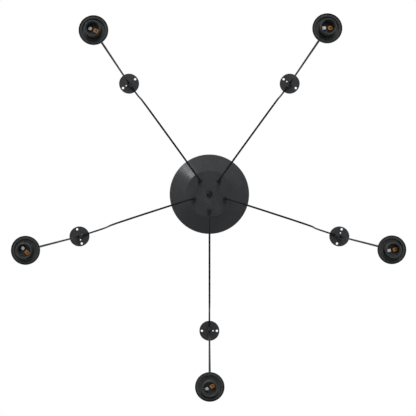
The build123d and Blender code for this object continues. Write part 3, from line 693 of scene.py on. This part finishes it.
def add_area_light(name, place, width, power):
    """Square soft light at a place, turned towards the lit point."""
    lamp = bpy.data.lights.new(name, "AREA")
    lamp.shape = "SQUARE"
    lamp.size = width
    lamp.energy = power
    light = new_object(name, lamp)
    light.location = place
    back = Vector(place) - Vector(LIT_POINT)
    light.rotation_euler = back.to_track_quat("Z", "Y").to_euler()
    return light


class PENDANT_OT_stage(bpy.types.Operator):
    """Sets the camera under the light looking straight up, a pale floor below and soft light"""

    bl_idname = "pendant.stage"
    bl_label = "Stage"

    def execute(self, context):
        settings = context.scene.pendant.stage
        camera_data = bpy.data.cameras.new("camera")
        camera_data.sensor_width = SENSOR_WIDTH
        camera_data.lens = settings.focal_length
        camera_data.shift_x, camera_data.shift_y = settings.camera_shift
        camera = new_object("camera", camera_data)
        camera.location = settings.camera_place
        camera.rotation_euler = (math.pi, 0, 0)
        context.scene.camera = camera
        white_backdrop()
        mesh = bpy.data.meshes.new("floor")
        corners = np.array(((-1, -1), (1, -1), (1, 1), (-1, 1))) * FLOOR_HALF_SIDE
        heights = np.full((4, 1), settings.floor_height)
        mesh.from_pydata(np.hstack((corners, heights)).tolist(), [], [(0, 1, 2, 3)])
        mesh.materials.append(floor_material(settings.floor_colour, settings.floor_glow))
        new_object("floor", mesh)
        add_area_light("key_light", KEY_PLACE, KEY_WIDTH, settings.key_power)
        fill = add_area_light("fill_light", FILL_PLACE, FILL_WIDTH, settings.fill_power)
        fill.visible_glossy = False
        context.scene.view_settings.view_transform = "Standard"
        return {"FINISHED"}


# ---- cords


# Places of a drop cord's control points, as shares of its length
DROP_CORD_SHARES = np.array(((0,), (0.3,), (0.7,), (1,)))
HEAD_FLAT = 0.9  # height of a pressed head's flat top, as a share of its radius
HEAD_POINTS, HEAD_SEGMENTS = 16, 24


class PENDANT_OT_feed_cords(bpy.types.Operator):
    """Makes the five cords that run from the canopy's grips to the ceiling plates"""

    bl_idname = "pendant.feed_cords"
    bl_label = "Feed cords"

    def execute(self, context):
        settings = context.scene.pendant.cords
        for number, route, length in zip(ARM_NUMBERS, FEED_ROUTES, FEED_LENGTHS):
            points = np.array([
                arm_place(number, GRIP_CIRCLE_RADIUS + out, SPOUT_AXIS_HEIGHT + up)
                for out, up in route
            ])
            cord = add_cord(f"feed_cord_{number}", points, "root", settings)
        return {"FINISHED"}


class PENDANT_OT_drop_cords(bpy.types.Operator):
    """Makes the five cords that the lamp holders hang on, each with its pressed head"""

    bl_idname = "pendant.drop_cords"
    bl_label = "Drop cords"

    def execute(self, context):
        settings = context.scene.pendant.cords
        for number in ARM_NUMBERS:
            body = f"pendant_{number}"
            upper = pivot(number)
            lower = under_plate(number, low(f"drop_cord_{number}"))
            points = upper + (lower - upper) * DROP_CORD_SHARES
            head = add_piece(
                f"cord_head_{number}", cord_head(upper, settings.head_diameter / 2), body,
                "black_moulded_plastic",
            )
            cord = add_cord(f"drop_cord_{number}", points, body, settings)
        return {"FINISHED"}


def cord_head(centre, radius):
    """Pressed head of a cord: a ball, its radius at height h being sqrt(R^2 - h^2), cut flat near
    its top."""
    height = np.linspace(-1, HEAD_FLAT, HEAD_POINTS) * radius
    ball = np.column_stack((np.sqrt(radius**2 - height**2), height))
    ball[0, 0] = 0
    top = np.array(((0, HEAD_FLAT * radius),))
    return turned(np.concatenate((ball, top)), centre, HEAD_SEGMENTS)


# ---- canopy


# The rim's bead: its radius, and its middle's distances from the rim's edge and the ceiling
BEAD_RADIUS = 0.0011
BEAD_INSET = 0.7 * BEAD_RADIUS
BEAD_DROP = 1.1 * BEAD_RADIUS
BEAD_POINTS, RIM_SEGMENTS = 12, 144
# Hexagon nuts: their end faces' radius, as a share of the flats' half width, and the slope of
# the cone that cuts their corners
NUT_FACE = 0.95
NUT_CONE_DEGREES = 30
NUT_SEGMENTS, ROD_SEGMENTS = 48, 24
CAP_POINTS, CAP_SEGMENTS = 12, 64


class PENDANT_OT_canopy(bpy.types.Operator):
    """Finishes the canopy, its crossbar and its terminal block, and adds the rolled rim"""

    bl_idname = "pendant.canopy"
    bl_label = "Canopy"

    def execute(self, context):
        finish_nodes(["canopy_shell"], "satin_powder_coat")
        finish_nodes(["ceiling_bracket", "terminal_screws"], "zinc_plated_steel")
        finish_nodes(["terminal_block"], "pale_terminal_plastic")
        rim_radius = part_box("canopy_shell")[1].x
        angle = round_angles(BEAD_POINTS)
        section = BEAD_RADIUS * np.hstack((np.cos(angle), np.sin(angle)))
        section += (rim_radius - BEAD_INSET, -BEAD_DROP)
        bead = turned(section, (0, 0, 0), RIM_SEGMENTS)
        add_piece("canopy_rim_bead", bead, "root", "satin_powder_coat")
        return {"FINISHED"}


def threaded_rod(bottom, top, radius, pitch, depth, end_chamfer):
    """Threaded rod on the Z axis: chamfered ends, and a helical groove over the whole length."""
    steps = int((top - bottom) / pitch * STEPS_TO_PITCH)
    corners = (
        (0, bottom), (radius - end_chamfer, bottom), (radius, bottom + end_chamfer),
        (radius, top - end_chamfer), (radius - end_chamfer, top), (0, top),
    )
    points = outline(corners, (1, 1, steps, 1, 1, 1), closed=False)
    swell = thread(points, ROD_SEGMENTS, radius, pitch, -depth, bottom, top)
    return turned(points, (0, 0, 0), ROD_SEGMENTS, swell)


def hexagon_nut(centre, flats, height, bore_radius):
    """Hexagon nut standing on centre: its side is at flats / 2 / cos(a), where a is the angle to
    the nearest flat's middle, but never further out than a cone that starts at each end face's
    round edge and leaves its corners chamfered."""
    face_radius = flats / 2 * NUT_FACE
    corners = (
        (bore_radius, 0), (face_radius, 0), (face_radius, height), (bore_radius, height),
    )
    points = outline(corners, (1, 14, 1, 6))
    to_flat = np.mod(round_angles(NUT_SEGMENTS), TURN / 6) - TURN / 12
    side = flats / 2 / np.cos(to_flat)
    depth = np.minimum(points[None, :, 1], height - points[None, :, 1])
    cone = face_radius + depth / math.tan(math.radians(NUT_CONE_DEGREES))
    on_side = points[None, :, 0] == face_radius
    swell = (np.minimum(side, cone) - face_radius) * on_side
    return turned(points, centre, NUT_SEGMENTS, swell)


def cap_nut(bottom, top, radius, dome, ease):
    """Round cap nut: a short straight side under the canopy and a dome below it, whose radius is
    R sin(a) at height dome * (1 - cos(a)) above its pole, as a goes from 0 to a quarter turn."""
    angle = np.linspace(0, TURN / 4, CAP_POINTS)
    cap = np.column_stack((radius * np.sin(angle), bottom + dome * (1 - np.cos(angle))))
    side = np.array(((radius, top - ease), (radius - ease, top), (0, top)))
    return turned(np.concatenate((cap, side)), (0, 0, 0), CAP_SEGMENTS)


class PENDANT_OT_stud(bpy.types.Operator):
    """Makes the threaded stud, its lock nut and the cap nut under the canopy"""

    bl_idname = "pendant.stud"
    bl_label = "Stud and nuts"

    def execute(self, context):
        settings = context.scene.pendant.fittings
        rod = threaded_rod(
            low("centre_stud"), high("centre_stud"), settings.thread_radius,
            settings.thread_pitch, settings.thread_depth, settings.edge * 2,
        )
        add_piece("threaded_stud", rod, "root", "zinc_plated_steel", "centre_stud")
        bottom, top = low("stud_nut"), high("stud_nut")
        nut = hexagon_nut(
            (0, 0, bottom), settings.stud_nut_flats, top - bottom, settings.thread_radius
        )
        add_piece("stud_lock_nut", nut, "root", "zinc_plated_steel", "stud_nut")
        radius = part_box("canopy_cap_nut")[1].x
        cap = cap_nut(
            low("canopy_cap_nut"), high("canopy_cap_nut"), radius, settings.cap_dome, settings.edge
        )
        add_piece("domed_cap_nut", cap, "root", "blackened_steel", "canopy_cap_nut")
        return {"FINISHED"}


# ---- cord grips and glands


STEPS_TO_RIB = 4
RIBS_END = 0.8  # height at which the ribs end, as a share of the gland's
OVER_TIP = 1.01  # the ribs stop where the body is hardly wider than its tip


def gland(centre, up, thread_length, height, sizes):
    """Gland that stands on centre, its flange and ribbed, tapered body on the side that up points
    to (1 or -1) and its threaded nipple on the other. Its outline is turned round the upright axis,
    with a helical groove on the nipple and upright grooves between the flange and the tip."""
    corners = (
        (sizes.cord_bore, -thread_length),
        (sizes.thread_radius, -thread_length),
        (sizes.thread_radius, 0),
        (sizes.grip_flange_radius, 0),
        (sizes.grip_flange_radius, sizes.grip_flange_height),
        (sizes.grip_body_radius, sizes.grip_flange_height),
        (sizes.grip_body_radius, height / 2),
        (sizes.grip_tip_radius, height),
        (sizes.cord_bore, height),
    )
    thread_steps = int(thread_length / sizes.thread_pitch * STEPS_TO_PITCH)
    points = outline(corners, (1, thread_steps, 1, 1, 1, 8, 6, 1, 1), sizes.edge)
    segments = sizes.grip_ribs * STEPS_TO_RIB
    swell = thread(
        points, segments, sizes.thread_radius, sizes.thread_pitch, -sizes.thread_depth,
        -thread_length, 0,
    )
    wider_than_tip = points[None, :, 0] > sizes.grip_tip_radius * OVER_TIP
    swell = swell + wider_than_tip * flutes(
        points, segments, sizes.grip_ribs, sizes.grip_rib_depth,
        sizes.grip_flange_height, height * RIBS_END,
    )
    return turned(points * (1, up), centre, segments, swell)


class PENDANT_OT_cord_grips(bpy.types.Operator):
    """Makes the five cord grips under the canopy face and the nuts that hold them inside it"""

    bl_idname = "pendant.cord_grips"
    bl_label = "Cord grips"

    def execute(self, context):
        settings = context.scene.pendant.fittings
        face = low("canopy_shell")
        grips, nuts = [], []
        nut_bottom, nut_top = low("grip_nuts"), high("grip_nuts")
        for number in ARM_NUMBERS:
            grips.append(gland(
                arm_place(number, GRIP_CIRCLE_RADIUS, face), -1, high("cord_grips") - face,
                face - low("cord_grips"), settings,
            ))
            nuts.append(hexagon_nut(
                arm_place(number, GRIP_CIRCLE_RADIUS, nut_bottom), settings.grip_nut_flats,
                nut_top - nut_bottom, settings.thread_radius,
            ))
        add_piece("ribbed_cord_grips", joined(grips), "root", "black_nylon", "cord_grips")
        add_piece("grip_lock_nuts", joined(nuts), "root", "zinc_plated_steel", "grip_nuts")
        return {"FINISHED"}


# ---- ceiling plates


class PENDANT_OT_ceiling_plates(bpy.types.Operator):
    """Finishes the ceiling plates, their clamping screws and the rings in their mouths"""

    bl_idname = "pendant.ceiling_plates"
    bl_label = "Ceiling plates"

    def execute(self, context):
        finish_nodes([f"ceiling_plate_{n}" for n in ARM_NUMBERS], "satin_powder_coat")
        finish_nodes([f"outlet_ring_{n}" for n in ARM_NUMBERS], "black_moulded_plastic")
        finish_nodes(["clamp_screws"], "blackened_steel")
        return {"FINISHED"}


# ---- lamp holders


HOLDER_SEGMENTS = 96
RING_CLEARANCE = 0.00005
RING_EASE = 0.0005
SOCKET_EASE = 0.0004


class PENDANT_OT_holder_cups(bpy.types.Operator):
    """Finishes the holder cups and makes the glands on top of them"""

    bl_idname = "pendant.holder_cups"
    bl_label = "Holder cups"

    def execute(self, context):
        settings = context.scene.pendant.fittings
        finish_nodes([f"holder_cup_{n}" for n in ARM_NUMBERS], "satin_powder_coat")
        for number in ARM_NUMBERS:
            node = f"cup_gland_{number}"
            seat = high(f"holder_cup_{number}")
            shape = gland(
                under_plate(number, seat), 1, seat - low(node), high(node) - seat, settings
            )
            add_piece(f"ribbed_{node}", shape, f"pendant_{number}", "black_nylon", node)
        return {"FINISHED"}


def shade_ring(centre, radius, height, sizes):
    """Threaded ring turned about the upright axis: a flat band in the cup's mouth, its lower face
    on centre, a web above and inside it and a hub on the web."""
    bore = sizes.skirt_radius + RING_CLEARANCE
    web_top = sizes.ring_step + sizes.ring_web
    corners = (
        (bore, sizes.ring_step),
        (sizes.ring_band_inside, sizes.ring_step),
        (sizes.ring_band_inside, 0),
        (radius, 0),
        (radius, sizes.ring_band),
        (sizes.ring_web_radius, sizes.ring_band),
        (sizes.ring_web_radius, web_top),
        (sizes.ring_hub_radius, web_top),
        (sizes.ring_hub_radius, height),
        (bore, height),
    )
    points = outline(corners, (3, 2, 3, 1, 1, 1, 3, 2, 1, 4), RING_EASE)
    return turned(points, centre, HOLDER_SEGMENTS)


def lamp_socket(centre, height, sizes):
    """Socket turned about the upright axis, its mouth on centre: from the floor under the contacts
    out through their chamber and down the lamp's threaded bore to the mouth, up the coarse thread
    outside, over the shoulder into the threaded entry and down to the top of the floor."""
    hollow_floor = sizes.floor_depth + sizes.floor_thickness
    corners = (
        (0, sizes.floor_depth),
        (sizes.chamber_radius, sizes.floor_depth),
        (sizes.chamber_radius, sizes.bore_end),
        (sizes.bore_radius, sizes.bore_end),
        (sizes.bore_radius, sizes.mouth_chamfer),
        (sizes.bore_radius + sizes.mouth_chamfer, 0),
        (sizes.skirt_radius - sizes.skirt_chamfer, 0),
        (sizes.skirt_radius, sizes.skirt_chamfer),
        (sizes.skirt_radius, sizes.skirt_height),
        (sizes.body_radius, sizes.skirt_height),
        (sizes.body_radius, sizes.shoulder_height),
        (sizes.top_radius, height),
        (sizes.entry_radius, height),
        (sizes.entry_radius, height - sizes.entry_depth),
        (sizes.wiring_radius, sizes.shoulder_height),
        (sizes.wiring_radius, hollow_floor),
        (0, hollow_floor),
    )
    steps = (6, 2, 1, 36, 1, 1, 1, 72, 1, 8, 6, 1, 4, 1, 6, 6, 1)
    points = outline(corners, steps, SOCKET_EASE, closed=False)
    inside = thread(
        points, HOLDER_SEGMENTS, sizes.bore_radius, sizes.lamp_pitch, -sizes.lamp_thread,
        sizes.mouth_chamfer, sizes.bore_end,
    )
    outside = thread(
        points, HOLDER_SEGMENTS, sizes.skirt_radius, sizes.ring_pitch, -sizes.ring_thread,
        sizes.skirt_chamfer, sizes.skirt_height,
    )
    return turned(points, centre, HOLDER_SEGMENTS, inside + outside)


class PENDANT_OT_lamp_sockets(bpy.types.Operator):
    """Makes the lamp sockets and the threaded rings that hold them in their cups"""

    bl_idname = "pendant.lamp_sockets"
    bl_label = "Lamp sockets"

    def execute(self, context):
        settings = context.scene.pendant.sockets
        for number in ARM_NUMBERS:
            body = f"pendant_{number}"
            socket, ring = f"lamp_socket_{number}", f"shade_ring_{number}"
            lowest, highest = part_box(ring)
            shape = shade_ring(
                under_plate(number, lowest.z), (highest.x - lowest.x) / 2, highest.z - lowest.z,
                settings,
            )
            add_piece(f"turned_{ring}", shape, body, "black_moulded_plastic", ring)
            shape = lamp_socket(
                under_plate(number, low(socket)), high(socket) - low(socket), settings
            )
            add_piece(f"threaded_{socket}", shape, body, "black_moulded_plastic", socket)
        return {"FINISHED"}


# Rings of points on each side of a leaf, crowded towards its edge by a power
LEAF_RINGS = 18
LEAF_RINGS_CROWDING = 1.3
LEAF_SQUARENESS = 6  # power of the superellipse round a leaf
BEND_SHARE, SLOPE_SHARE = 0.85, 0.15  # of a leaf's rise, in its bend and along its slope


def contact_leaf(centre, turn, tip, end, width, hole, sizes):
    """Stamped contact leaf under the socket's floor, turned about the upright axis.

    Seen from below it lies between a superellipse, whose radius at angle a is
    (|cos a / A|^n + |sin a / B|^n)^(-1/n), and its hole or middle. Beside its foot it bends down:
    with u going from 0 to 1 across the bend and v from the foot to the tip, it hangs
    rise * (bend share * (3 u^2 - 2 u^3) + slope share * v) below the floor."""
    angle = round_angles(HOLDER_SEGMENTS)
    half_length, half_width = (end - tip) / 2, width / 2
    power = LEAF_SQUARENESS
    edge = (
        np.abs(np.cos(angle) / half_length) ** power + np.abs(np.sin(angle) / half_width) ** power
    ) ** (-1 / power)
    rings = 1 - (1 - np.linspace(0, 1, LEAF_RINGS)) ** LEAF_RINGS_CROWDING
    share = np.concatenate((rings, rings[::-1]))[None, :]
    below = np.repeat((0, 1), LEAF_RINGS)[None, :]
    reach = hole / 2 + (edge - hole / 2) * share
    along = (end + tip) / 2 + reach * np.cos(angle)
    across = reach * np.sin(angle)
    heel = end - sizes.foot
    u = np.clip((heel - along) / sizes.bend, 0, 1)
    v = np.clip((heel - along) / (heel - tip), 0, 1)
    hang = sizes.rise * (BEND_SHARE * (3 * u**2 - 2 * u**3) + SLOPE_SHARE * v)
    height = -hang - below * sizes.thickness
    direction = math.radians(turn)
    x = along * math.cos(direction) - across * math.sin(direction)
    y = along * math.sin(direction) + across * math.cos(direction)
    grid = np.stack((x, y, height), axis=-1) + np.array(centre)
    return faced_outwards(*closed_grid(grid, hole == 0))


class PENDANT_OT_contacts(bpy.types.Operator):
    """Makes the brass centre contacts and the nickel-plated side contacts"""

    bl_idname = "pendant.contacts"
    bl_label = "Contacts"

    def execute(self, context):
        settings = context.scene.pendant.contacts
        brass = (
            settings.centre_tip, settings.centre_end, settings.centre_width, settings.centre_hole
        )
        nickel = (settings.side_tip, settings.side_end, settings.side_width, 0)
        for number, turn in zip(ARM_NUMBERS, CONTACT_TURNS):
            floor = under_plate(number, high(f"centre_contact_{number}"))
            for kind, look, sizes, leaf_turn in (
                ("centre", "stamped_brass", brass, turn),
                ("side", "nickel_plated_strip", nickel, turn + OPPOSITE),
            ):
                add_piece(
                    f"{kind}_contact_leaf_{number}",
                    contact_leaf(floor, leaf_turn, *sizes, settings),
                    f"pendant_{number}", look, f"{kind}_contact_{number}",
                )
        return {"FINISHED"}


# ---- panel and start


MAKERS = (
    PENDANT_OT_stage,
    PENDANT_OT_feed_cords,
    PENDANT_OT_drop_cords,
    PENDANT_OT_canopy,
    PENDANT_OT_stud,
    PENDANT_OT_cord_grips,
    PENDANT_OT_ceiling_plates,
    PENDANT_OT_holder_cups,
    PENDANT_OT_lamp_sockets,
    PENDANT_OT_contacts,
)


class PENDANT_PT_sidebar(bpy.types.Panel):
    """Lists the pendant's pieces and their settings"""

    bl_idname = "PENDANT_PT_sidebar"
    bl_label = "Spider Pendant"
    bl_space_type = "VIEW_3D"
    bl_region_type = "UI"
    bl_category = "Pendant"

    def draw(self, context):
        settings = context.scene.pendant
        for maker in MAKERS:
            self.layout.operator(maker.bl_idname)
        for name in ("cords", "fittings", "sockets", "contacts", "finishes", "stage"):
            group = getattr(settings, name)
            box = self.layout.box()
            box.label(text=name.capitalize())
            for key in group.__annotations__:
                box.prop(group, key)


CLASSES = (
    CordSettings, FittingSettings, SocketSettings, ContactSettings, FinishSettings, StageSettings,
    PendantSettings,
    *MAKERS, PENDANT_PT_sidebar,
)


def register():
    """Registers the classes and hangs the settings on the scene."""
    for each in CLASSES:
        bpy.utils.register_class(each)
    bpy.types.Scene.pendant = bpy.props.PointerProperty(type=PendantSettings)


def unregister():
    """Takes the settings and the classes away again."""
    del bpy.types.Scene.pendant
    for each in reversed(CLASSES):
        bpy.utils.unregister_class(each)


def main():
    register()
    bpy.ops.pendant.stage()
    bpy.ops.pendant.feed_cords()
    bpy.ops.pendant.drop_cords()
    bpy.ops.pendant.canopy()
    bpy.ops.pendant.stud()
    bpy.ops.pendant.cord_grips()
    bpy.ops.pendant.ceiling_plates()
    bpy.ops.pendant.holder_cups()
    bpy.ops.pendant.lamp_sockets()
    bpy.ops.pendant.contacts()


if __name__ == "__main__":
    main()
